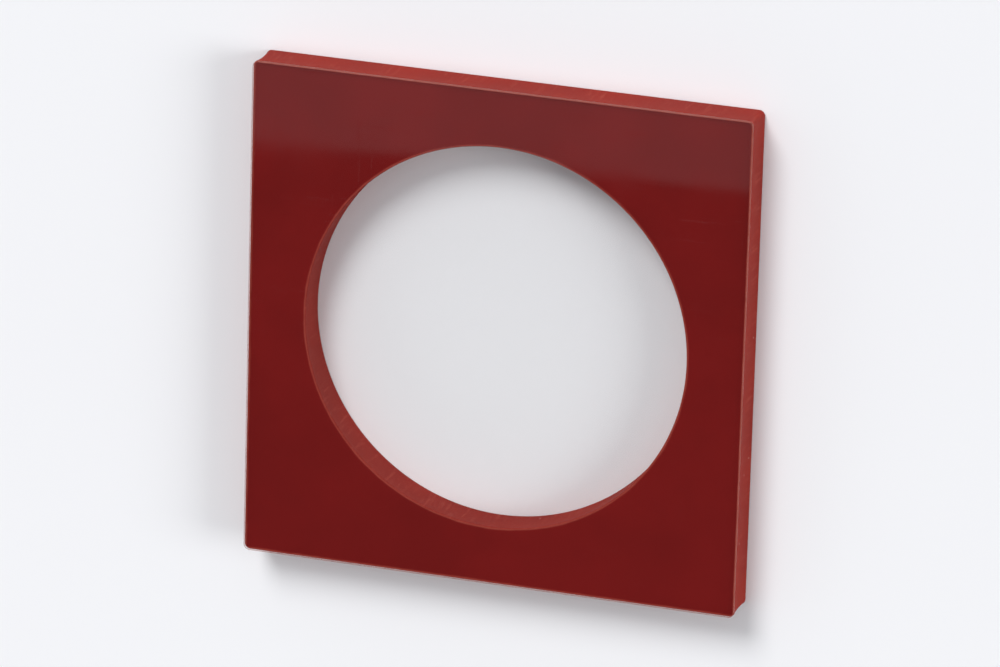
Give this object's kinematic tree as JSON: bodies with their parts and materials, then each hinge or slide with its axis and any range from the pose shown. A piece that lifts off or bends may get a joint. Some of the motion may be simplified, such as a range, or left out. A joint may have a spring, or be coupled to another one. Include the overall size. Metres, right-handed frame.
{
  "type": "imaging chamber",
  "caption": "Press-on imaging chamber for microscopy: a square silicone gasket with a round well, closed on one side by a thin clear plastic cover.",
  "frame": {"origin": "centre of the sealing face, which is the underside of the gasket as the chamber lies", "axes": "+Z along the axis of the well, from the sealing face to the clear cover; X and Y along the sides of the square"},
  "size_m": [0.026, 0.026, 0.0022],
  "materials": {
    "silicone": "satin",
    "clear_film": "clear, polished"
  },
  "bodies": {
    "root": {"gasket": "silicone", "cover": "clear_film"}
  },
  "joints": []
}
